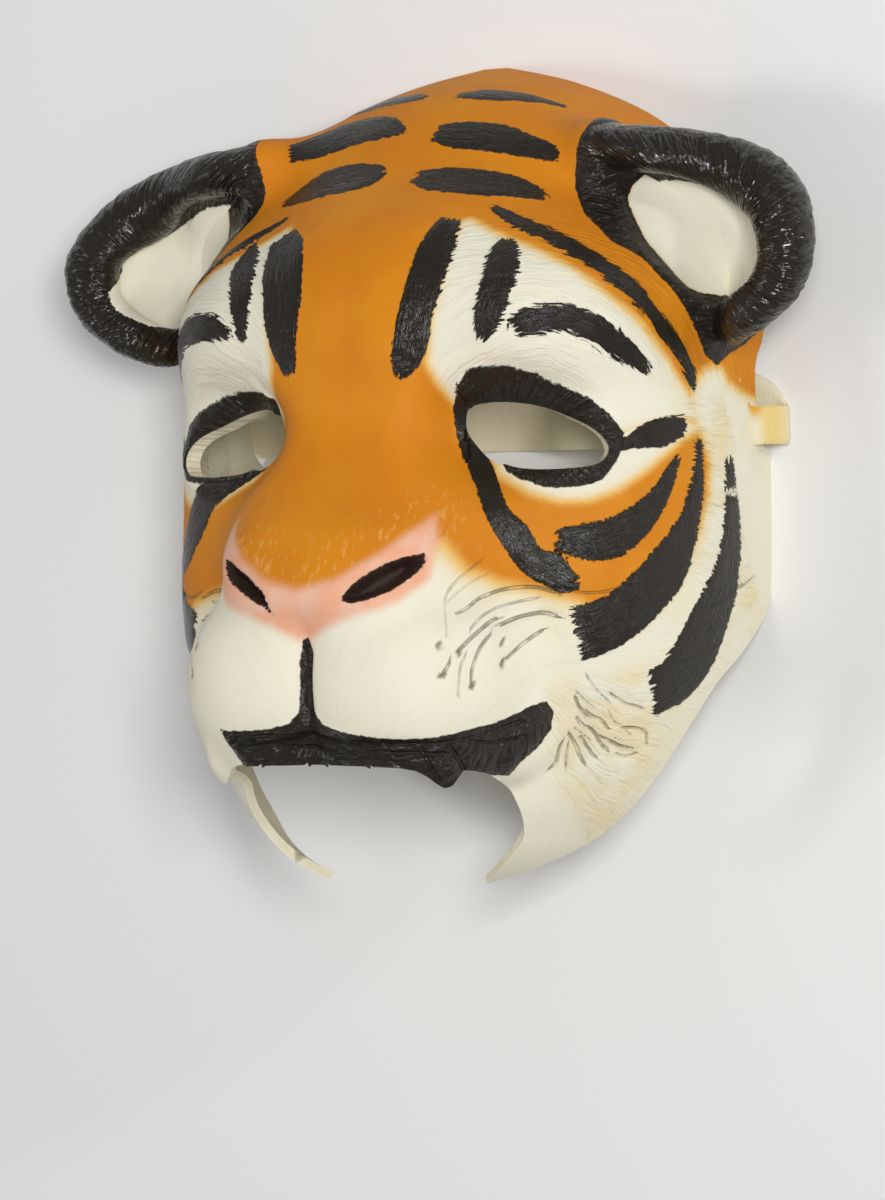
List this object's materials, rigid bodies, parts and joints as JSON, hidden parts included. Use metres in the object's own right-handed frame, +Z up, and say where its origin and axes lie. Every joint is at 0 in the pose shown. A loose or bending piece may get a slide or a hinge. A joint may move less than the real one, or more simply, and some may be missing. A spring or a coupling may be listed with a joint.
{
  "type": "tiger half mask",
  "caption": "Cast rubber tiger half mask with open eyes, rolled ears, free chin and a head band, laid face up.",
  "frame": {"origin": "on the table, under the middle of the mask's width and length", "axes": "+X to the wearer's left, +Y towards the forehead, +Z up off the table, the way the face looks"},
  "size_m": [0.2256, 0.2149, 0.1127],
  "materials": {
    "painted_rubber": "cast rubber painted orange and cream with glossy black brushed stripes and a pink nose"
  },
  "bodies": {
    "root": {"mask": "painted_rubber"}
  },
  "joints": []
}
